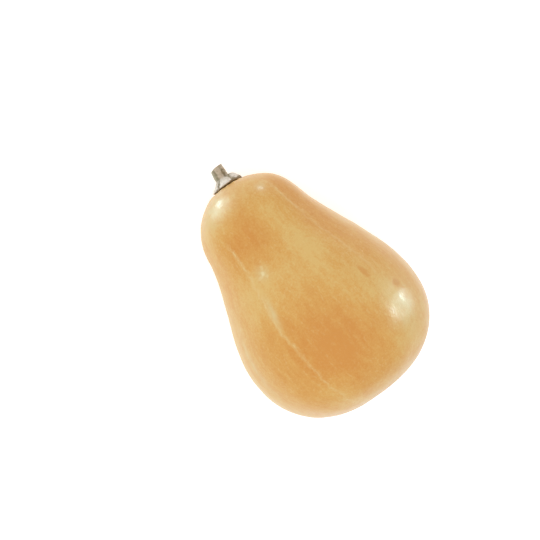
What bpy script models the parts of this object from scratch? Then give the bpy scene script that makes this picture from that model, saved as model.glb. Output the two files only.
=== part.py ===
"""A pear-shaped winter squash with its dried stem, lying on its side.

Metres, +Z up. The squash lies along X with its stem towards -X. It rests on the ground plane, z = 0, on a
small flat spot under its belly and a smaller one under its neck. The origin is on the ground, under the
middle of its length and width.
"""

import math

import bmesh
import bpy

# The fruit's outline. Depths are measured along its own axis, from the top of the crown to the blossom end.
FRUIT_LENGTH = 0.1762
BELLY_RADIUS = 0.066
BELLY_DEPTH = 0.1202
NECK_RADIUS = 0.0415
NECK_DEPTH = 0.0362  # where the neck starts to swell into the belly
SWELL_POWER = 0.85  # under 1, the swell starts sooner
SHOULDER_DEPTH = 0.0432  # where the rounded shoulder reaches the full neck
SHOULDER_ROUNDNESS = 2.2  # 2 is an ellipse, more is squarer
BLOSSOM_ROUNDNESS = 2.3
SEAT_DEPTH = 0.0012  # the crown is flat here, under the stem
OUTLINE_POINTS = 44
FRUIT_SIDES = 64

# The stem, measured along its own axis from its foot.
STEM_HEIGHT = 0.0142
FOOT_RADIUS = 0.0108
FOOT_HEIGHT = 0.0056  # the flared foot has blended into the shaft here
FOOT_ROUNDNESS = 2.2
SHAFT_RADIUS = 0.0047
TIP_NARROWING = 0.08  # share of the shaft's radius lost at the cut tip
STEM_LEAN = math.radians(4)
RIDGES = 5
RIDGE_SHARE = 0.08  # height of a ridge as a share of the radius
STEM_SIDES = 40
STEM_RINGS = 14
TIP_SHARPNESS = math.radians(50)  # edges that turn more than this, such as the cut tip's, are not smoothed

# How it lies.
REST_TILT = math.radians(18.2)  # the neck end lies this much lower than the belly end
BELLY_FLAT_DEPTH = 0.0010  # how deep the flat spot cuts into the belly
GAP = 0.0003  # between the stem's foot and the crown

SKIN_COLOUR = (0.73, 0.43, 0.17, 1.0)
SKIN_ROUGHNESS = 0.42
STEM_COLOUR = (0.62, 0.50, 0.36, 1.0)
STEM_ROUGHNESS = 0.8


def clear_scene():
    for obj in list(bpy.data.objects):
        bpy.data.objects.remove(obj, do_unlink=True)


def new_collection(name):
    collection = bpy.data.collections.new(name)
    bpy.context.scene.collection.children.link(collection)
    return collection


def new_material(name, colour, roughness):
    material = bpy.data.materials.new(name)
    material.use_nodes = True
    shader = material.node_tree.nodes["Principled BSDF"]
    shader.inputs["Base Color"].default_value = colour
    shader.inputs["Roughness"].default_value = roughness
    shader.inputs["Metallic"].default_value = 0.0
    material.diffuse_color = colour
    return material


def clamp(value):
    return min(max(value, 0.0), 1.0)


def smooth_step(value):
    value = clamp(value)
    return value * value * (3.0 - 2.0 * value)


def rounded_end(share, roundness):
    """Radius of a rounded end, from 1 where it starts (share 0) to 0 at its pole (share 1)."""
    return (1.0 - clamp(share) ** roundness) ** (1.0 / roundness)


def fruit_radius(depth):
    """Radius of the fruit at a depth below the top of its crown."""
    swell = clamp((depth - NECK_DEPTH) / (BELLY_DEPTH - NECK_DEPTH)) ** SWELL_POWER
    radius = NECK_RADIUS + (BELLY_RADIUS - NECK_RADIUS) * smooth_step(swell)
    shoulder = rounded_end((SHOULDER_DEPTH - depth) / SHOULDER_DEPTH, SHOULDER_ROUNDNESS)
    blossom_end = rounded_end((depth - BELLY_DEPTH) / (FRUIT_LENGTH - BELLY_DEPTH), BLOSSOM_ROUNDNESS)
    return radius * shoulder * blossom_end


def fruit_outline():
    """(radius, height) pairs down the fruit's outer side, closest together at its two ends."""
    outline = [(0.0, FRUIT_LENGTH - SEAT_DEPTH)]
    for step in range(OUTLINE_POINTS):
        share = 0.5 * (1.0 - math.cos(math.pi * step / OUTLINE_POINTS))
        depth = SEAT_DEPTH + share * (FRUIT_LENGTH - SEAT_DEPTH)
        outline.append((fruit_radius(depth), FRUIT_LENGTH - depth))
    outline.append((0.0, 0.0))
    return outline


def make_rest_pose():
    """An empty at the blossom end that lays the fruit's axis down, with the flat spots at z = 0."""
    lowest = max(
        height * math.sin(REST_TILT) + radius * math.cos(REST_TILT) for radius, height in fruit_outline()
    )
    pose = bpy.data.objects.new("rest_pose", None)
    pose.rotation_euler = (0.0, -(math.pi / 2.0 + REST_TILT), 0.0)
    pose.location = (0.0, 0.0, lowest - BELLY_FLAT_DEPTH)
    return pose


def make_fruit(pose, collection):
    outline = fruit_outline()
    mesh = bpy.data.meshes.new("fruit")
    points = [(radius, 0.0, height) for radius, height in outline]
    edges = [(index, index + 1) for index in range(len(points) - 1)]
    mesh.from_pydata(points, edges, [])
    fruit = bpy.data.objects.new("fruit", mesh)
    collection.objects.link(fruit)
    fruit.parent = pose
    turning = fruit.modifiers.new("turning", "SCREW")
    turning.steps = FRUIT_SIDES
    turning.render_steps = FRUIT_SIDES
    turning.use_merge_vertices = True
    turning.merge_threshold = 0.00001
    turning.use_smooth_shade = True
    mesh.materials.append(new_material("squash_skin", SKIN_COLOUR, SKIN_ROUGHNESS))
    return fruit


def cut_flat_spots(fruit, collection):
    """Cuts away what would reach below the ground, which leaves a flat spot under belly and neck."""
    side = 3.0 * FRUIT_LENGTH
    bpy.ops.mesh.primitive_cube_add(size=side, location=(0.0, 0.0, -0.5 * side))
    ground = bpy.context.active_object
    ground.name = "ground_cutter"
    for owner in list(ground.users_collection):
        owner.objects.unlink(ground)
    collection.objects.link(ground)
    ground.hide_render = True
    ground.display_type = "WIRE"
    cut = fruit.modifiers.new("flat_spots", "BOOLEAN")
    cut.operation = "DIFFERENCE"
    cut.object = ground


def stem_radius(height, angle):
    """Radius of the stem: a shaft with five ridges, flaring into a thick, lobed foot."""
    flare = rounded_end(height / FOOT_HEIGHT, FOOT_ROUNDNESS)
    tip = smooth_step(height / STEM_HEIGHT)
    radius = SHAFT_RADIUS * (1.0 - TIP_NARROWING * tip) + (FOOT_RADIUS - SHAFT_RADIUS) * flare
    return radius * (1.0 + RIDGE_SHARE * math.cos(RIDGES * angle))


def make_stem(pose, collection):
    mesh = bpy.data.meshes.new("stem")
    shape = bmesh.new()
    bmesh.ops.create_cone(
        shape,
        cap_ends=True,
        segments=STEM_SIDES,
        radius1=FOOT_RADIUS,
        radius2=FOOT_RADIUS,
        depth=STEM_HEIGHT,
    )
    upright = [edge for edge in shape.edges if edge.verts[0].co.z * edge.verts[1].co.z < 0.0]
    bmesh.ops.subdivide_edges(shape, edges=upright, cuts=STEM_RINGS - 1, use_grid_fill=True)
    for vert in shape.verts:
        height = vert.co.z + 0.5 * STEM_HEIGHT
        angle = math.atan2(vert.co.y, vert.co.x)
        radius = stem_radius(height, angle)
        lean = math.tan(STEM_LEAN) * height
        vert.co = (radius * math.cos(angle), radius * math.sin(angle) + lean, height)
    shape.to_mesh(mesh)
    shape.free()
    mesh.shade_smooth()
    mesh.set_sharp_from_angle(angle=TIP_SHARPNESS)
    stem = bpy.data.objects.new("stem", mesh)
    collection.objects.link(stem)
    stem.parent = pose
    stem.location = (0.0, 0.0, FRUIT_LENGTH - SEAT_DEPTH + GAP)
    mesh.materials.append(new_material("dry_stem", STEM_COLOUR, STEM_ROUGHNESS))
    return stem


def centre_over_origin(pose, nodes):
    """Slides the whole squash along X until its bounding box is centred on the origin."""
    bpy.context.view_layer.update()
    graph = bpy.context.evaluated_depsgraph_get()
    along_x = []
    for node in nodes:
        evaluated = node.evaluated_get(graph)
        along_x += [(evaluated.matrix_world @ vert.co).x for vert in evaluated.data.vertices]
    pose.location.x -= 0.5 * (min(along_x) + max(along_x))


def main():
    clear_scene()
    squash = new_collection("winter_squash")
    cutters = new_collection("cutters")
    pose = make_rest_pose()
    squash.objects.link(pose)
    fruit = make_fruit(pose, squash)
    stem = make_stem(pose, squash)
    cut_flat_spots(fruit, cutters)
    centre_over_origin(pose, [fruit, stem])


main()
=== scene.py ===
import math

import bmesh
import bpy
from mathutils import Matrix, Vector, noise


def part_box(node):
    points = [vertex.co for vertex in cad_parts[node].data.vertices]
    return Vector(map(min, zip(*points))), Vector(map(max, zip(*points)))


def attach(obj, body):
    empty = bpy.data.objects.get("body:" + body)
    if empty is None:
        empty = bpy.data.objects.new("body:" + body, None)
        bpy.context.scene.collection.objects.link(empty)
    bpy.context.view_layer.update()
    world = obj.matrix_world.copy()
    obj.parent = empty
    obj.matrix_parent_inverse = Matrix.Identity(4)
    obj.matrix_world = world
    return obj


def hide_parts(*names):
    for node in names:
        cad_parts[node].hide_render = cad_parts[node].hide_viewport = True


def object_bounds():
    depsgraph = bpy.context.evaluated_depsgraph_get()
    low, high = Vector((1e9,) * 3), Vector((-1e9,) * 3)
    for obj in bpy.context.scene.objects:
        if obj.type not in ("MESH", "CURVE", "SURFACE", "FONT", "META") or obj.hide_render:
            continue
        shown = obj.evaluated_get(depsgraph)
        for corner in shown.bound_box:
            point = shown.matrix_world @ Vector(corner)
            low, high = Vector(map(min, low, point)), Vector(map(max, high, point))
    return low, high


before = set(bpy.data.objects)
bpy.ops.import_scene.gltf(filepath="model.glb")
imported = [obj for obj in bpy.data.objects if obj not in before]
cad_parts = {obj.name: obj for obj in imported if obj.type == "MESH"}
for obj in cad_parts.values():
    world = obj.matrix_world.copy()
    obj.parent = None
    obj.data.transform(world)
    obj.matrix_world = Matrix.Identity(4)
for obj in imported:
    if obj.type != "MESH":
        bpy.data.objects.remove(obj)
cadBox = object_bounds()
print("stage: frame loaded")


def clamp(value):
    return min(max(value, 0.0), 1.0)


def easeStep(low, high, value):
    share = clamp((value - low) / (high - low))
    return share * share * (3.0 - 2.0 * share)


def bell(distance, width):
    # 1 in the middle, falling softly to nothing over the width
    return math.exp(-(distance / width) ** 2)


def softNoise(x, y, z, scale):
    return noise.noise(Vector((x, y, z)) / scale)


def addMesh(name, shape):
    mesh = bpy.data.meshes.new(name)
    shape.to_mesh(mesh)
    shape.free()
    mesh.shade_smooth()
    piece = bpy.data.objects.new(name, mesh)
    bpy.context.scene.collection.objects.link(piece)
    return piece


def keepOwnPlace(piece, places):
    # each point remembers where it sits in the piece's own frame, so that a finish can follow the growth
    store = piece.data.attributes.new("ownPlace", "FLOAT_VECTOR", "POINT")
    store.data.foreach_set("vector", [number for place in places for number in place])


fruitShape = {
    "length": 0.1762,          # crown to blossom end
    "bellyRadius": 0.066,
    "bellyDepth": 0.1202,      # depths are measured down from the crown
    "neckRadius": 0.0415,
    "neckDepth": 0.0362,       # the neck starts to swell here
    "swellPower": 0.85,
    "shoulderDepth": 0.0432,
    "shoulderRoundness": 2.2,
    "blossomRoundness": 2.3,
    "seatDepth": 0.0012,       # the stem's foot sits at this depth
    "restTilt": math.radians(18.2),
    "sides": 256,
    "rings": 240,
    "seatRings": 10,           # rings of the crown under and beside the stem's foot
    "fadeAtCrown": 0.03,       # the flats and lumps fade out over this much of each end
    "fadeAtBlossom": 0.02,
    "flats": 10,               # faint flats that run from the stem to the blossom end
    "flatTurn": math.radians(8.0),
    "flatDepth": 0.00045,      # how far they stand off a true circle
    "lumps": 0.0009,
    "lumpSize": 0.055,
    "ripples": 0.00020,
    "rippleSize": 0.011,
    "creases": 0.00022,        # short folds that run out from under the stem
    "creaseCount": 17,
    "creaseSway": 1.4,
    "creaseStart": (0.007, 0.012),     # the folds rise between these radii
    "creaseEnd": (0.013, 0.024),       # and fade between these
    "footGroove": 0.0006,      # the skin dips where the stem's foot presses in
    "grooveRadius": 0.0118,
    "grooveWidth": 0.0016,
    # middle radius, width, rise: a shallow dish with a small raised ring and a sunken middle
    "blossomRings": [
        (0.0, 0.016, -0.0016),
        (0.0048, 0.0012, 0.0005),
        (0.0, 0.0022, -0.0007),
    ],
    "restSoftness": 0.0004,    # how gently the skin turns into its flat spots
    # depth, angle in degrees, reach along, reach around in degrees, how far in
    "hollows": [
        (0.028, 90, 0.017, 42, 0.0026),
        (0.003, 75, 0.009, 55, 0.0013),
        (0.070, -150, 0.030, 30, 0.0008),
        (0.120, 48, 0.003, 3, 0.0002),
        (0.063, -20, 0.002, 3, 0.0002),
    ],
}


def roundedEnd(share, roundness):
    return (1.0 - clamp(share) ** roundness) ** (1.0 / roundness)


def fruitRadius(depth):
    f = fruitShape
    swell = clamp((depth - f["neckDepth"]) / (f["bellyDepth"] - f["neckDepth"])) ** f["swellPower"]
    radius = f["neckRadius"] + (f["bellyRadius"] - f["neckRadius"]) * easeStep(0.0, 1.0, swell)
    shoulder = roundedEnd((f["shoulderDepth"] - depth) / f["shoulderDepth"], f["shoulderRoundness"])
    end = roundedEnd((depth - f["bellyDepth"]) / (f["length"] - f["bellyDepth"]), f["blossomRoundness"])
    return radius * shoulder * end


def growthFrame():
    # own X faces up off the table, own Y is the table's Y, own Z runs from the blossom end to the stem
    tilt = fruitShape["restTilt"]
    upAcross = Vector((-math.sin(tilt), 0.0, math.cos(tilt)))
    toStem = Vector((-math.cos(tilt), 0.0, -math.sin(tilt)))
    low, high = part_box("fruit")
    length = fruitShape["length"]
    steps = 2000
    depths = [length * step / steps for step in range(steps + 1)]
    reachX = max(fruitRadius(d) * math.sin(tilt) - (length - d) * math.cos(tilt) for d in depths)
    reachZ = max(fruitRadius(d) * math.cos(tilt) - (length - d) * math.sin(tilt) for d in depths)
    blossomEnd = Vector((high.x - reachX, 0.5 * (low.y + high.y), high.z - reachZ))
    turn = Matrix((upAcross, (0.0, 1.0, 0.0), toStem)).transposed()
    return Matrix.Translation(blossomEnd) @ turn.to_4x4()


growth = growthFrame()
across = growth.to_3x3() @ Vector((1.0, 0.0, 0.0))
sideways = growth.to_3x3() @ Vector((0.0, 1.0, 0.0))
toStem = growth.to_3x3() @ Vector((0.0, 0.0, 1.0))
crown = growth @ Vector((0.0, 0.0, fruitShape["length"] - fruitShape["seatDepth"]))
print("stage: growth frame placed")


studio = {
    "lens": 90.0,
    "viewWidth": 0.367,        # metres across the picture at the squash
    "roll": math.radians(37.27),
    "aimRight": 0.0292,        # from the crown to the picture's middle
    "aimDown": 0.0571,
    "tentLight": 0.56,         # even light from all round
    "backdrop": 1.0,           # how white the tent looks to the camera
    "tableColour": (0.93, 0.93, 0.93, 1.0),
    "tableRoughness": 0.9,
    "tableGlow": 0.50,         # the table is a lit white sheet, so that shadows stay faint
    "tableSize": 6.0,
    "tableGap": 0.0001,        # how far the table lies under the squash
    "cardLight": (0.58, 0.89, 1.00),   # the small cards and lamps are a cooler white than the key
    # name: where it stands, the point it faces, width, height, brightness, cells across and up,
    # spread in degrees
    "softboxes": {
        "keyLight": ((-0.05, -0.20, 1.50), (0.00, 0.00, 0.07), 1.80, 1.80, 1.26, (1, 1), 180),
        "rightSoftbox": ((0.155, 0.445, 0.190), (0.037, 0.043, 0.115), 0.19, 0.24, 13.5, (2, 3), 13),
        "rightLamp": ((0.136, 0.440, 0.112), (0.036, 0.048, 0.110), 0.085, 0.035, 114.0, (1, 1), 12),
        "rightLampTwo": ((0.160, 0.430, 0.255), (0.036, 0.040, 0.118), 0.095, 0.045, 82.0, (1, 1), 12),
        "lowCard": ((-0.140, -0.040, 0.004), (-0.078, -0.013, 0.053), 0.07, 0.11, 4.9, (1, 1), 180),
        "lowLamp": ((-0.128, -0.034, 0.004), (-0.078, -0.013, 0.053), 0.015, 0.030, 17.0, (1, 1), 180),
        "farLamp": ((-0.215, 0.128, 0.010), (-0.073, 0.017, 0.061), 0.03, 0.03, 25.5, (1, 1), 180),
    },
}


def addCamera():
    data = bpy.data.cameras.new("camera")
    data.lens = studio["lens"]
    camera = bpy.data.objects.new("camera", data)
    bpy.context.scene.collection.objects.link(camera)
    right = math.cos(studio["roll"]) * sideways - math.sin(studio["roll"]) * toStem
    up = math.cos(studio["roll"]) * toStem + math.sin(studio["roll"]) * sideways
    target = crown + studio["aimRight"] * right - studio["aimDown"] * up
    distance = studio["viewWidth"] * data.lens / data.sensor_width
    turn = Matrix((right, up, across)).transposed().to_4x4()
    camera.matrix_world = Matrix.Translation(target + distance * across) @ turn
    bpy.context.scene.camera = camera


def spreadShare(spread):
    # the share of a lamp's full output that keeps its brightness the same when it is narrowed
    half = math.radians(0.5 * spread)
    return 1.0 if spread >= 180 else (math.tan(half) - half) / math.tan(half)


def addSoftboxes():
    for name, (stand, target, width, height, brightness, cells, spread) in studio["softboxes"].items():
        columns, rows = cells
        stand, target = Vector(stand), Vector(target)
        facing = (stand - target).to_track_quat("Z", "Y")
        for cell in range(columns * rows):
            right = width * ((cell % columns + 0.5) / columns - 0.5)
            up = height * ((cell // columns + 0.5) / rows - 0.5)
            place = stand + facing @ Vector((right, up, 0.0))
            data = bpy.data.lights.new(name, "AREA")
            data.shape = "RECTANGLE"
            data.size = width / columns
            data.size_y = height / rows
            data.spread = math.radians(spread)
            data.energy = brightness * math.pi * data.size * data.size_y * spreadShare(spread)
            light = bpy.data.objects.new(name, data)
            light.location = place
            light.rotation_euler = (place - target).to_track_quat("Z", "Y").to_euler()
            light.visible_camera = False
            if name == "keyLight":
                light.visible_glossy = False
            else:
                data.color = studio["cardLight"]
                light.visible_diffuse = False  # these only shine in the wax
            bpy.context.scene.collection.objects.link(light)


def addTent():
    world = bpy.data.worlds.new("whiteTent")
    world.use_nodes = True
    nodes, links = world.node_tree.nodes, world.node_tree.links
    lighting = nodes["Background"]
    lighting.inputs["Color"].default_value = (1.0, 1.0, 1.0, 1.0)
    lighting.inputs["Strength"].default_value = studio["tentLight"]
    seen = nodes.new("ShaderNodeBackground")
    seen.inputs["Color"].default_value = (1.0, 1.0, 1.0, 1.0)
    seen.inputs["Strength"].default_value = studio["backdrop"]
    which = nodes.new("ShaderNodeLightPath")
    both = nodes.new("ShaderNodeMixShader")
    links.new(which.outputs["Is Camera Ray"], both.inputs[0])
    links.new(lighting.outputs[0], both.inputs[1])
    links.new(seen.outputs[0], both.inputs[2])
    links.new(both.outputs[0], nodes["World Output"].inputs["Surface"])
    bpy.context.scene.world = world


def addTable():
    shape = bmesh.new()
    bmesh.ops.create_grid(shape, x_segments=1, y_segments=1, size=0.5 * studio["tableSize"])
    table = addMesh("table", shape)
    table.location.z = cadBox[0][2] - studio["tableGap"]
    paint = bpy.data.materials.new("tablePaint")
    paint.use_nodes = True
    shader = paint.node_tree.nodes["Principled BSDF"]
    shader.inputs["Base Color"].default_value = studio["tableColour"]
    shader.inputs["Roughness"].default_value = studio["tableRoughness"]
    shader.inputs["Emission Color"].default_value = (1.0, 1.0, 1.0, 1.0)
    shader.inputs["Emission Strength"].default_value = studio["tableGlow"]
    table.data.materials.append(paint)


addCamera()
addSoftboxes()
addTent()
addTable()
scene = bpy.context.scene
scene.view_settings.view_transform = "Standard"
scene.view_settings.look = "None"
print("stage: studio ready")


class Finish:
    # a material being wired up: most calls add a node and give back its output

    def __init__(self, name):
        self.material = bpy.data.materials.new(name)
        self.material.use_nodes = True
        self.nodes = self.material.node_tree.nodes
        self.links = self.material.node_tree.links
        self.shader = self.nodes["Principled BSDF"]

    def feed(self, socket, value):
        if isinstance(value, bpy.types.NodeSocket):
            self.links.new(value, socket)
        elif socket.type == "RGBA" and len(value) == 3:
            socket.default_value = (*value, 1.0)
        else:
            socket.default_value = value

    def math(self, operation, first, second=0.0, third=0.0, limit=False):
        node = self.nodes.new("ShaderNodeMath")
        node.operation = operation
        node.use_clamp = limit
        for socket, value in zip(node.inputs, (first, second, third)):
            self.feed(socket, value)
        return node.outputs[0]

    def vector(self, operation, first, second=(0.0, 0.0, 0.0)):
        node = self.nodes.new("ShaderNodeVectorMath")
        node.operation = operation
        self.feed(node.inputs[0], first)
        self.feed(node.inputs[1], second)
        return node.outputs["Value" if operation == "LENGTH" else "Vector"]

    def joined(self, x, y, z):
        node = self.nodes.new("ShaderNodeCombineXYZ")
        for socket, value in zip(node.inputs, (x, y, z)):
            self.feed(socket, value)
        return node.outputs[0]

    def split(self, vector):
        node = self.nodes.new("ShaderNodeSeparateXYZ")
        self.feed(node.inputs[0], vector)
        return node.outputs

    def grain(self, place, scale, detail=2.0, roughness=0.5, distortion=0.0):
        node = self.nodes.new("ShaderNodeTexNoise")
        self.feed(node.inputs["Vector"], place)
        node.inputs["Scale"].default_value = scale
        node.inputs["Detail"].default_value = detail
        node.inputs["Roughness"].default_value = roughness
        node.inputs["Distortion"].default_value = distortion
        return node.outputs[0]

    def layer(self, place, kind):
        # grain from one row of a look: how far it is drawn out along the growth, then its size and detail
        stretch, *rest = kind
        return self.grain(self.vector("MULTIPLY", place, (1.0, 1.0, stretch)), *rest)

    def remap(self, value, low, high, newLow=0.0, newHigh=1.0, curve="SMOOTHSTEP"):
        node = self.nodes.new("ShaderNodeMapRange")
        node.interpolation_type = curve
        for socket, number in zip(node.inputs, (value, low, high, newLow, newHigh)):
            self.feed(socket, number)
        return node.outputs[0]

    def vary(self, grain, low, high, curve="SMOOTHSTEP"):
        # nearly all of a grain lies between 0.3 and 0.7
        return self.remap(grain, 0.3, 0.7, low, high, curve)

    def mixed(self, share, first, second):
        node = self.nodes.new("ShaderNodeMix")
        node.data_type = "RGBA"
        self.feed(node.inputs[0], share)
        self.feed(node.inputs[6], first)
        self.feed(node.inputs[7], second)
        return node.outputs[2]

    def bumped(self, height, strength, distance, below=None):
        node = self.nodes.new("ShaderNodeBump")
        node.inputs["Strength"].default_value = strength
        node.inputs["Distance"].default_value = distance
        self.feed(node.inputs["Height"], height)
        if below is not None:
            self.feed(node.inputs["Normal"], below)
        return node.outputs[0]

    def ownPlace(self):
        node = self.nodes.new("ShaderNodeAttribute")
        node.attribute_name = "ownPlace"
        return node.outputs["Vector"]


skinLook = {
    "deep": (0.680, 0.305, 0.072),
    "tan": (0.732, 0.406, 0.115),
    "light": (0.760, 0.502, 0.176),
    "paleAndHighlight": (0.750, 0.620, 0.325),
    "vein": (0.790, 0.560, 0.240),
    "cork": (0.360, 0.230, 0.110),
    "corkLight": (0.560, 0.420, 0.250),
    "corkMiddle": (0.130, 0.080, 0.040),
    "roughness": (0.28, 0.42),
    "wax": 0.17,               # share of the thin waxy bloom over the skin
    "waxRoughness": 0.16,
    "shine": 0.16,
    "dimpleRelief": (0.30, 0.0008),    # strength, height
    "strandRelief": (0.40, 0.0003),
    "mottleRelief": (0.25, 0.0003),
    "tone": 0.45,              # -0.2 is deep, 0.5 tan, 1 light
    "toneChange": {"patches": 0.16, "blotches": 0.09, "streaks": 0.11, "mottle": 0.21},
    "flecks": 0.35,
    "fleckEdge": (0.56, 0.70),
    "paleRaggedness": 0.3,
    # stretch (less than 1 is drawn out along the fruit), fineness, detail, roughness, distortion
    "grains": {
        "patches": (0.45, 42.0, 3.0, 0.55, 0.3),
        "blotches": (0.70, 190.0, 2.0, 0.5),
        "streaks": (0.10, 300.0, 3.0, 0.6),
        "mottle": (1.0, 800.0, 3.0, 0.65),
        "flecks": (0.5, 560.0, 2.0, 0.6),
        "breaks": (0.45, 640.0, 3.0, 0.7),     # where the strands' bands break up
        "ragged": (1.0, 700.0, 3.0, 0.7),      # the edges of marks and of the scar
        "dimples": (1.0, 330.0, 4.0, 0.6),
    },
    # depth, angle in degrees, reach along, reach around in degrees, change of tone
    "toneAndGlowZones": [
        (0.041, -12, 0.018, 23, -0.58),
        (0.130, -7, 0.031, 32, -0.68),
        (0.072, -28, 0.016, 20, 0.50),
        (0.020, -42, 0.010, 26, 0.60),
        (0.156, -26, 0.016, 10, 0.40),
        (0.108, 26, 0.016, 12, 0.35),
        # painted highlight glow: lighter skin round the right-hand highlight
        (0.124, 38, 0.010, 9, 0.50),
        (0.098, 38, 0.022, 8, 0.30),
        (0.080, 10, 0.030, 22, 0.25),
        (0.050, 18, 0.050, 14, 0.35),
        # painted highlight glow: lighter skin round the right-hand highlight
        (0.150, 42, 0.020, 20, 0.50),
        (0.100, -76, 0.090, 20, 0.40),
        (0.110, 78, 0.080, 18, 0.25),
        (0.040, 52, 0.040, 12, -0.35),
        (0.120, 150, 0.050, 30, -0.35),
        (0.050, -130, 0.030, 26, -0.30),
        (0.110, -95, 0.026, 20, 0.30),
    ],
    # the same, but a share of the pale colour, such as beside the stem and where it lay on the ground;
    # three are painted highlight: on the left shoulder beside the stem (partly a real paler crown), the
    # small spot right of the stem and the cream patch under the right-hand highlight
    "paleAndHighlightZones": [
        # painted highlight on the left shoulder beside the stem, partly a real paler crown
        (0.009, -36, 0.009, 30, 0.65),
        # painted highlight: the small spot right of the stem
        (0.016, 31, 0.003, 6, 0.30),
        (0.0628, -20, 0.0045, 5.5, 0.55),
        (0.004, 120, 0.008, 70, 0.35),
        (0.106, -64, 0.020, 2.8, 0.45),
        (0.087, -27, 0.009, 2.4, 0.60),
        # painted highlight: the cream patch under the right-hand highlight
        (0.136, 44, 0.014, 12, 0.45),
        (0.176, 0, 0.010, 400, 0.35),
        (0.108, 180, 0.042, 30, 0.75),
        (0.040, 176, 0.020, 26, 0.45),
    ],
    "strand": {
        "slowSway": (30.0, 0.0014),    # waves for each metre, how far aside
        "quickSway": (190.0, 0.0011),
        "band": 0.0024,                # half width
        "bandStrength": 0.75,
        "core": 0.0009,                # half width of the thread
        "coreStrength": (0.05, 0.40),  # between its wisps, and in them
        "wisps": 330.0,
        "parting": 0.0022,             # how far it opens where it runs double
        "fade": 0.012,                 # length over which its ends fade
    },
    # first angle and last angle in degrees, first depth, last depth, strength
    "strands": [
        (-35, -25.5, 0.030, 0.122, 0.85),
        (-25, -27, 0.110, 0.176, 0.55),
        (42, 40, 0.004, 0.052, 0.65),
        (40, 41, 0.040, 0.114, 0.50),
        (79, 76, 0.030, 0.120, 0.40),
        (116, 113, 0.016, 0.160, 0.70),
        (-139, -136, 0.030, 0.150, 0.75),
        (-100, -98, 0.012, 0.090, 0.50),
        (152, 154, 0.020, 0.100, 0.55),
    ],
    "raggedness": 0.35,        # how far the edges of marks wander
    "markEdge": (0.40, 1.20),  # a mark fades from here to here, as shares of its size
    # depth, angle in degrees, half length, half width, strength, colour
    "marks": [
        (0.1200, 48.1, 0.0034, 0.0036, 0.95, (0.670, 0.340, 0.090)),
        (0.1013, 34.4, 0.0070, 0.0028, 0.75, (0.690, 0.325, 0.085)),
        (0.0607, 61.5, 0.0022, 0.0014, 0.60, (0.700, 0.330, 0.110)),
        (0.0744, 47.4, 0.0020, 0.0012, 0.50, (0.710, 0.350, 0.110)),
        (0.0632, -19.8, 0.0019, 0.0016, 0.85, (0.840, 0.690, 0.370)),
        (0.0598, -18.2, 0.0022, 0.0014, 0.55, (0.800, 0.620, 0.300)),
        (0.0648, -23.0, 0.0016, 0.0024, 0.55, (0.800, 0.620, 0.300)),
        (0.0662, -17.5, 0.0016, 0.0014, 0.45, (0.800, 0.620, 0.300)),
        (0.0907, 46.6, 0.0006, 0.0006, 0.90, (0.880, 0.600, 0.250)),
        (0.0285, 38.2, 0.0020, 0.0005, 0.60, (0.480, 0.260, 0.080)),
        (0.0840, 128, 0.0042, 0.0026, 0.60, (0.600, 0.330, 0.120)),
        (0.1340, -118, 0.0030, 0.0026, 0.60, (0.820, 0.640, 0.340)),
        (0.0520, -158, 0.0050, 0.0007, 0.60, (0.480, 0.300, 0.130)),
    ],
    # the corky scar where the flower was; each pair is where it starts to fade and where it ends
    "scar": {
        "depths": (0.15, 0.16),
        "edge": (0.0034, 0.0046),
        "middle": (0.0008, 0.0022),
        "halo": (0.004, 0.020),
        "haloStrength": 0.7,
        "rays": (5.0, 3.0, 0.6),
        "rayReach": 0.0009,
        "raggedness": 0.0012,
    },
}


def skinPoint(depth, degrees):
    # a place on the plain turned skin, in the fruit's own frame
    radius, angle = fruitRadius(depth), math.radians(degrees)
    return Vector((radius * math.cos(angle), radius * math.sin(angle), fruitShape["length"] - depth))


def zoneMask(skin, depth, angle, zone):
    middle, degrees, along, around, _ = zone
    offDepth = skin.math("DIVIDE", skin.math("SUBTRACT", depth, middle), along)
    turn = skin.math("WRAP", skin.math("SUBTRACT", angle, math.radians(degrees)), math.pi, -math.pi)
    offAngle = skin.math("DIVIDE", turn, math.radians(around))
    square = skin.math("ADD", skin.math("POWER", offDepth, 2.0), skin.math("POWER", offAngle, 2.0))
    return skin.math("EXPONENT", skin.math("MULTIPLY", square, -1.0))


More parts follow.
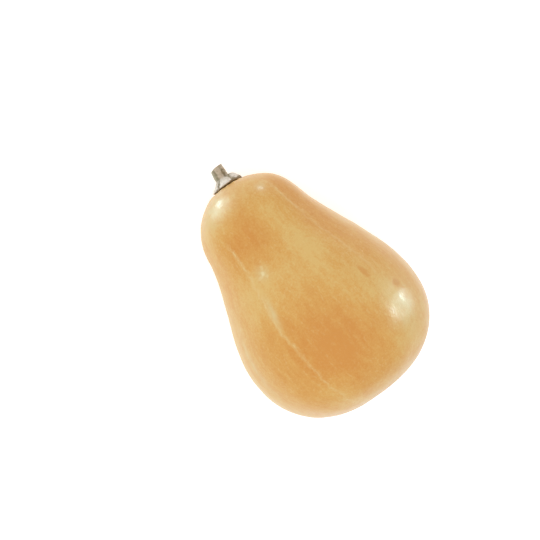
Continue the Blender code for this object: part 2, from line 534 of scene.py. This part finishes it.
def strandMask(skin, strand, angle, depth, z, radius, breaks):
    # a wandering line down the fruit: a soft band round a finer thread that breaks up and runs double
    look = skinLook["strand"]
    firstAngle, lastAngle, first, last, strength = strand
    slowWaves, slowReach = look["slowSway"]
    quickWaves, quickReach = look["quickSway"]

    # the first angle picks another stretch of noise for every strand
    slow = skin.grain(skin.joined(firstAngle * 0.37, 2.0, skin.math("MULTIPLY", z, slowWaves)), 1.0)
    quick = skin.grain(skin.joined(firstAngle * 0.61, 7.0, skin.math("MULTIPLY", z, quickWaves)), 1.0)
    slowSway = skin.vary(slow, -slowReach, slowReach, "LINEAR")
    quickSway = skin.vary(quick, -quickReach, quickReach, "LINEAR")
    middle = skin.remap(depth, first, last, math.radians(firstAngle), math.radians(lastAngle), "LINEAR")
    reach = skin.math("MULTIPLY", skin.math("SUBTRACT", angle, middle), radius)
    gap = skin.math("ABSOLUTE", skin.math("ADD", reach, skin.math("ADD", slowSway, quickSway)))
    parting = skin.remap(slow, 0.52, 0.62, 0.0, look["parting"])
    threadGap = skin.math("ABSOLUTE", skin.math("SUBTRACT", gap, parting))
    band = skin.math("MULTIPLY", skin.remap(gap, 0.0, look["band"], look["bandStrength"], 0.0), breaks)
    wisps = skin.grain(skin.joined(firstAngle * 0.83, 4.0, z), look["wisps"])
    wisps = skin.remap(wisps, 0.42, 0.60, *look["coreStrength"])
    thread = skin.math("MULTIPLY", skin.remap(threadGap, 0.0, look["core"], 1.0, 0.0), wisps)
    fadeIn = skin.remap(depth, first, first + look["fade"])
    fadeOut = skin.remap(depth, last - look["fade"], last, 1.0, 0.0)
    ends = skin.math("MULTIPLY", fadeIn, fadeOut)
    return skin.math("MULTIPLY", skin.math("ADD", band, thread), skin.math("MULTIPLY", ends, strength))


def markMask(skin, place, ragged, mark):
    depth, degrees, length, width, strength, _ = mark
    offset = skin.vector("SUBTRACT", place, tuple(skinPoint(depth, degrees)))
    offset = skin.vector("MULTIPLY", offset, (1.0 / width, 1.0 / width, 1.0 / length))
    reach = skin.math("ADD", skin.vector("LENGTH", offset), ragged)
    return skin.remap(reach, *skinLook["markEdge"], strength, 0.0)


def scarOver(skin, colour, x, y, radius, depth, ragged, mottle):
    # ragged cork with a dark middle and pale streaks running out of it
    look, scar = skinLook, skinLook["scar"]
    atEnd = skin.remap(depth, *scar["depths"])
    rays = skin.grain(skin.vector("NORMALIZE", skin.joined(x, y, 0.0)), *scar["rays"])
    reach = skin.math("MULTIPLY_ADD", ragged, scar["raggedness"], radius)
    reach = skin.math("ADD", reach, skin.vary(rays, -scar["rayReach"], scar["rayReach"]))
    halo = skin.remap(radius, *scar["halo"], scar["haloStrength"], 0.0)
    halo = skin.math("MULTIPLY", halo, skin.remap(rays, 0.44, 0.60))
    colour = skin.mixed(skin.math("MULTIPLY", halo, atEnd), colour, look["paleAndHighlight"])
    cork = skin.mixed(skin.remap(mottle, 0.35, 0.65), look["cork"], look["corkLight"])
    cork = skin.mixed(skin.remap(reach, *scar["middle"], 1.0, 0.0), cork, look["corkMiddle"])
    share = skin.math("MULTIPLY", skin.remap(reach, *scar["edge"], 1.0, 0.0), atEnd)
    return skin.mixed(share, colour, cork)


def makeSkin():
    look = skinLook
    skin = Finish("squashSkin")
    place = skin.ownPlace()
    x, y, z = skin.split(place)
    angle = skin.math("ARCTAN2", y, x)
    radius = skin.vector("LENGTH", skin.joined(x, y, 0.0))
    depth = skin.math("SUBTRACT", fruitShape["length"], z)
    grains = {name: skin.layer(place, kind) for name, kind in look["grains"].items()}

    # broad patches from deep orange to yellow, then finer and finer variation
    tone = look["tone"]
    for name, change in look["toneChange"].items():
        tone = skin.math("ADD", tone, skin.vary(grains[name], -change, change))
    # the listed zones deepen or lighten the tone; two of them are a painted glow round the right-hand
    # highlight
    for zone in look["toneAndGlowZones"]:
        tone = skin.math("MULTIPLY_ADD", zoneMask(skin, depth, angle, zone), zone[4], tone)
    colour = skin.mixed(skin.remap(tone, -0.2, 0.5, curve="LINEAR"), look["deep"], look["tan"])
    colour = skin.mixed(skin.remap(tone, 0.5, 1.0, curve="LINEAR"), colour, look["light"])

    # pale places, some of them painted highlight, ragged at their edges
    paleAndHighlight = 0.0
    for zone in look["paleAndHighlightZones"]:
        paleAndHighlight = skin.math("MULTIPLY_ADD", zoneMask(skin, depth, angle, zone), zone[4], paleAndHighlight)
    low, high = 1.0 - look["paleRaggedness"], 1.0 + look["paleRaggedness"]
    paleAndHighlight = skin.math("MULTIPLY", paleAndHighlight, skin.remap(grains["blotches"], 0.25, 0.75, low, high), limit=True)
    colour = skin.mixed(paleAndHighlight, colour, look["paleAndHighlight"])

    # small yellow flecks, fewer where the skin is deepest
    flecks = skin.remap(grains["flecks"], *look["fleckEdge"], 0.0, look["flecks"])
    flecks = skin.math("MULTIPLY", flecks, skin.remap(tone, -0.1, 0.6, 0.35, 1.0))
    colour = skin.mixed(flecks, colour, look["vein"])

    lines = 0.0
    breaks = skin.remap(grains["breaks"], 0.38, 0.62, 0.20, 1.0)
    for strand in look["strands"]:
        lines = skin.math("MAXIMUM", strandMask(skin, strand, angle, depth, z, radius, breaks), lines)
    colour = skin.mixed(lines, colour, look["vein"])
    ragged = skin.remap(grains["ragged"], 0.2, 0.8, -look["raggedness"], look["raggedness"], "LINEAR")
    for mark in look["marks"]:
        colour = skin.mixed(markMask(skin, place, ragged, mark), colour, mark[5])
    colour = scarOver(skin, colour, x, y, radius, depth, ragged, grains["mottle"])
    skin.feed(skin.shader.inputs["Base Color"], colour)

    skin.feed(skin.shader.inputs["Roughness"], skin.remap(grains["mottle"], 0.2, 0.8, *look["roughness"]))
    skin.shader.inputs["Specular IOR Level"].default_value = look["shine"]
    skin.shader.inputs["Coat Weight"].default_value = look["wax"]
    skin.shader.inputs["Coat Roughness"].default_value = look["waxRoughness"]
    relief = skin.bumped(grains["dimples"], *look["dimpleRelief"])
    relief = skin.bumped(lines, *look["strandRelief"], relief)
    relief = skin.bumped(grains["mottle"], *look["mottleRelief"], relief)
    skin.feed(skin.shader.inputs["Normal"], relief)
    return skin.material


def turnBetween(angle, degrees):
    # shortest turn from one angle to another, in radians
    return (angle - math.radians(degrees) + math.pi) % (2.0 * math.pi) - math.pi


def skinRise(depth, angle, flatPlace):
    # how far the real skin stands off the turned shape, along its normal
    f = fruitShape
    turns = f["flats"] * (angle - f["flatTurn"])
    fromBlossom = f["length"] - depth
    body = easeStep(0.0, f["fadeAtCrown"], depth) * easeStep(0.0, f["fadeAtBlossom"], fromBlossom)
    rise = -f["flatDepth"] * body * math.cos(turns) * 0.5
    rise += f["lumps"] * softNoise(*flatPlace, f["lumpSize"]) * body
    rise += f["ripples"] * softNoise(*flatPlace, f["rippleSize"])
    for middle, degrees, along, around, inward in f["hollows"]:
        turn = turnBetween(angle, degrees) / math.radians(around)
        rise -= inward * bell(depth - middle, along) * bell(turn, 1.0)
    return rise


def crownRise(radius, angle):
    # folds that run out from under the stem, and the dip round its foot
    f = fruitShape
    sway = f["creaseSway"] * softNoise(math.cos(angle), math.sin(angle), 0.3, 0.6)
    fade = easeStep(*f["creaseStart"], radius) * (1.0 - easeStep(*f["creaseEnd"], radius))
    fold = math.cos(f["creaseCount"] * angle + sway) * fade
    return f["creases"] * fold - f["footGroove"] * bell(radius - f["grooveRadius"], f["grooveWidth"])


def blossomRise(radius):
    return sum(rise * bell(radius - middle, width) for middle, width, rise in fruitShape["blossomRings"])


def layOnTable(place):
    world = growth @ place
    soft = fruitShape["restSoftness"]
    world.z = 0.5 * (world.z + math.sqrt(world.z * world.z + soft * soft))
    return world


def fruitRows():
    # (depth, radius, outward lean) of each ring, from the crown's middle to just before the blossom end
    f = fruitShape
    seatRadius = fruitRadius(f["seatDepth"])
    near = 0.0004              # the slope is taken over this depth to either side
    rows = []
    for ring in range(1, f["seatRings"]):
        rows.append((f["seatDepth"], seatRadius * ring / f["seatRings"], Vector((0.0, 1.0))))
    for ring in range(f["rings"]):
        share = 0.5 * (1.0 - math.cos(math.pi * ring / f["rings"]))
        depth = f["seatDepth"] + share * (f["length"] - f["seatDepth"])
        slope = (fruitRadius(depth + near) - fruitRadius(depth - near)) / (2.0 * near)
        rows.append((depth, fruitRadius(depth), Vector((1.0, slope)).normalized()))
    return rows


def fruitPlace(depth, radius, outward, angle):
    flat = Vector((radius * math.cos(angle), radius * math.sin(angle), fruitShape["length"] - depth))
    rise = skinRise(depth, angle, flat)
    reach = radius + rise * outward.x
    height = flat.z + rise * outward.y
    if depth > 0.5 * fruitShape["length"]:
        height -= blossomRise(radius)
    else:
        height += crownRise(radius, angle) * outward.y
    return Vector((reach * math.cos(angle), reach * math.sin(angle), height))


def makeFruit():
    f = fruitShape
    shape = bmesh.new()
    places = []
    rings = []

    def addPoint(place):
        places.append(place)
        return shape.verts.new(layOnTable(place))

    crownMiddle = addPoint(fruitPlace(f["seatDepth"], 0.0, Vector((0.0, 1.0)), 0.0))
    for depth, radius, outward in fruitRows():
        angles = [-math.pi + 2.0 * math.pi * side / f["sides"] for side in range(f["sides"])]
        rings.append([addPoint(fruitPlace(depth, radius, outward, angle)) for angle in angles])
    blossomMiddle = addPoint(Vector((0.0, 0.0, -blossomRise(0.0))))
    for side in range(f["sides"]):
        follow = (side + 1) % f["sides"]
        shape.faces.new((crownMiddle, rings[0][side], rings[0][follow]))
        for upper, lower in zip(rings[:-1], rings[1:]):
            shape.faces.new((upper[side], lower[side], lower[follow], upper[follow]))
        shape.faces.new((rings[-1][side], blossomMiddle, rings[-1][follow]))
    fruit = addMesh("squashFruit", shape)
    keepOwnPlace(fruit, places)
    fruit.data.materials.append(makeSkin())
    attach(fruit, "root")
    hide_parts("fruit")


makeFruit()
print("stage: fruit grown")


stemShape = {
    "height": 0.0142,
    "footRadius": 0.0111,
    "footHeight": 0.0058,
    "footRoundness": 2.3,      # of its swollen side
    "footSlope": (1.3, 1.2),   # powers that hollow out its sloping side
    "footTurn": (0.15, 0.85),  # where the sloping side passes into the swollen one
    "footLobes": 0.13,
    "lobeLevel": 0.75,         # the foot bulges where a ridge stands higher than this
    "shaftRadius": 0.0048,
    "tipNarrowing": 0.06,
    "lean": math.radians(5.0),
    "ridges": 5,
    "ridgeWidth": 0.90,        # smaller is a broader ridge with a sharper groove
    "ridgeRise": 0.10,         # ridges stand out by this share of the radius
    "ridgeWander": 0.10,
    "wanderSize": 0.004,
    "grooveDepth": 0.16,
    "undercut": 0.10,          # the foot's underside draws in by this share
    "undercutHeight": 0.0008,
    "footDrop": 0.0024,        # the foot follows the crown down on one side
    "dropSide": (0.002, 0.012),
    "dropHeight": (0.0025, 0.0075),
    "tipDrop": 0.0015,         # one corner of the cut is lower
    "tipDropAngle": -95,
    "tipDropWidth": 50,
    "tipDish": 0.0006,
    "roughness": 0.00035,
    "roughSize": 0.004,
    "roughCrowding": 3.0,      # the roughness is this much finer around than along
    "sides": 200,
    "rings": 90,
    "tipRings": 8,
    "gap": 0.0003,
}

stemLook = {
    "ridge": (0.560, 0.450, 0.325),
    "foot": (0.870, 0.790, 0.690),
    "grooveShade": (0.230, 0.170, 0.090),
    "grooveShadeLight": (0.400, 0.330, 0.215),
    "darkTissueAndShade": (0.300, 0.215, 0.115),
    "green": (0.360, 0.350, 0.240),
    "pith": (0.420, 0.320, 0.200),
    "roughness": (0.65, 0.85),
    # stretch, fineness, detail, roughness
    "grains": {
        "bend": (1.0, 330.0, 2.0),
        "fibres": (0.10, 2400.0, 4.0, 0.6),
        "blotches": (1.0, 520.0, 3.0, 0.6),
    },
    # each pair is where a colour starts to fade and where it ends
    "greenSides": (-0.0015, -0.0040),
    "greenHeights": (0.004, 0.007),
    "greenShare": 0.6,
    "footHeights": (0.0020, 0.0072),
    "undersideShadeHeights": (0.0002, 0.0009),
    "cutReach": (0.0028, 0.0038),
    "cutHeights": (0.010, 0.011),
    "hollowReach": (0.0006, 0.0014),
    "edgeWander": 0.0004,
    "fibreRelief": (0.5, 0.0004),      # strength, height
    "blotchRelief": (0.4, 0.0006),
}


def ridgeProfile(angle):
    # 1 along a ridge, 0 in the bottom of a groove
    return abs(math.cos(0.5 * stemShape["ridges"] * angle)) ** stemShape["ridgeWidth"]


def stemRadius(height, angle):
    s = stemShape
    share = clamp(height / s["footHeight"])
    inner, outer = s["footSlope"]
    bulging = roundedEnd(share, s["footRoundness"])
    sloping = (1.0 - share ** inner) ** outer
    side = easeStep(*s["footTurn"], math.sin(angle))
    flare = sloping + (bulging - sloping) * side
    ridge = ridgeProfile(angle + s["ridgeWander"] * softNoise(height, 0.4, 0.0, s["wanderSize"]))
    relief = s["ridgeRise"] * ridge - s["grooveDepth"] * (1.0 - ridge)
    shaft = s["shaftRadius"] * (1.0 - s["tipNarrowing"] * height / s["height"]) * (1.0 + relief)
    foot = s["footRadius"] * (1.0 + s["footLobes"] * (ridge - s["lobeLevel"]))
    under = 1.0 - s["undercut"] * (1.0 - easeStep(0.0, s["undercutHeight"], height))
    return (shaft + (foot - s["shaftRadius"]) * flare) * under


def stemPlace(height, angle, inward=1.0):
    s = stemShape
    radius = stemRadius(height, angle) * inward
    x, y = radius * math.cos(angle), radius * math.sin(angle)
    crowding = s["roughCrowding"]
    rough = s["roughness"] * softNoise(crowding * x, crowding * y, height, s["roughSize"]) * inward
    x, y = x + rough * math.cos(angle), y + rough * math.sin(angle)
    tip = easeStep(0.5, 1.0, height / s["height"])
    corner = bell(turnBetween(angle, s["tipDropAngle"]) / math.radians(s["tipDropWidth"]), 1.0)
    drop = s["footDrop"] * easeStep(*s["dropSide"], y) * (1.0 - easeStep(*s["dropHeight"], height))
    drop += tip * s["tipDrop"] * corner * inward
    drop += tip * s["tipDish"] * (1.0 - inward)
    return Vector((x, y + math.tan(s["lean"]) * height, height - drop))


def makeStemWood():
    look = stemLook
    wood = Finish("dryStem")
    place = wood.ownPlace()
    x, y, z = wood.split(place)
    grains = {name: wood.layer(place, kind) for name, kind in look["grains"].items()}
    fibres, blotches = grains["fibres"], grains["blotches"]
    side = wood.math("MULTIPLY_ADD", z, -math.tan(stemShape["lean"]), y)  # y with the lean taken out
    bend = wood.remap(grains["bend"], 0.2, 0.8, -0.25, 0.25, "LINEAR")
    angle = wood.math("ADD", wood.math("ARCTAN2", side, x), bend)
    wave = wood.math("COSINE", wood.math("MULTIPLY", angle, 0.5 * stemShape["ridges"]))
    ridge = wood.math("ABSOLUTE", wave)

    # grooves darker than the weathered ridges, partly their own colour and partly painted shade
    colour = wood.mixed(wood.remap(blotches, 0.35, 0.65), look["grooveShade"], look["grooveShadeLight"])
    tone = wood.math("ADD", wood.remap(ridge, 0.42, 0.88), wood.vary(blotches, -0.25, 0.25))
    tone = wood.math("ADD", tone, wood.vary(fibres, -0.20, 0.20), limit=True)
    colour = wood.mixed(tone, colour, look["ridge"])

    # a greener side, a bleached foot and a dark underside, which is partly dark tissue and partly painted
    # shade where the foot meets the crown
    green = wood.remap(side, *look["greenSides"])
    green = wood.math("MULTIPLY", green, wood.remap(z, *look["greenHeights"], 0.0, look["greenShare"]))
    colour = wood.mixed(green, colour, look["green"])
    foot = wood.remap(z, *look["footHeights"], 1.0, 0.0)
    foot = wood.math("MULTIPLY", foot, wood.remap(ridge, 0.10, 0.60))
    foot = wood.math("MULTIPLY", foot, wood.remap(blotches, 0.3, 0.6, 0.6, 1.0))
    colour = wood.mixed(foot, colour, look["foot"])
    wander = wood.vary(blotches, -look["edgeWander"], look["edgeWander"])
    # painted shade: a dark band along the foot's underside where it meets the crown, partly real dark
    # tissue
    under = wood.remap(wood.math("ADD", z, wander), *look["undersideShadeHeights"], 1.0, 0.0)
    colour = wood.mixed(under, colour, look["darkTissueAndShade"])

    # the cut tip: pith round a dark hollow
    reach = wood.math("ADD", wood.vector("LENGTH", wood.joined(x, side, 0.0)), wander)
    cut = wood.remap(reach, *look["cutReach"], 1.0, 0.0)
    cut = wood.math("MULTIPLY", cut, wood.remap(z, *look["cutHeights"]))
    hollow = wood.remap(reach, *look["hollowReach"], 1.0, 0.0)
    colour = wood.mixed(cut, colour, wood.mixed(hollow, look["pith"], look["darkTissueAndShade"]))
    wood.feed(wood.shader.inputs["Base Color"], colour)

    wood.feed(wood.shader.inputs["Roughness"], wood.remap(fibres, 0.2, 0.8, *look["roughness"]))
    relief = wood.bumped(fibres, *look["fibreRelief"])
    wood.feed(wood.shader.inputs["Normal"], wood.bumped(blotches, *look["blotchRelief"], relief))
    return wood.material


def makeStem():
    s = stemShape
    shape = bmesh.new()
    lift = Vector((0.0, 0.0, fruitShape["length"] - fruitShape["seatDepth"] + s["gap"]))
    places = []

    def addRow(height, inward=1.0):
        row = []
        for side in range(s["sides"]):
            angle = -math.pi + 2.0 * math.pi * side / s["sides"]
            places.append(stemPlace(height, angle, inward))
            row.append(shape.verts.new(growth @ (places[-1] + lift)))
        return row

    rows = [addRow(s["height"] * ring / s["rings"]) for ring in range(s["rings"] + 1)]
    rows += [addRow(s["height"], 1.0 - ring / s["tipRings"]) for ring in range(1, s["tipRings"])]
    for side in range(s["sides"]):
        follow = (side + 1) % s["sides"]
        for lower, upper in zip(rows[:-1], rows[1:]):
            shape.faces.new((lower[side], lower[follow], upper[follow], upper[side]))
    shape.faces.new(rows[-1])
    shape.faces.new(list(reversed(rows[0])))
    stem = addMesh("driedStem", shape)
    keepOwnPlace(stem, places)
    stem.data.materials.append(makeStemWood())
    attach(stem, "root")
    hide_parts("stem")


makeStem()
print("stage: stem made")
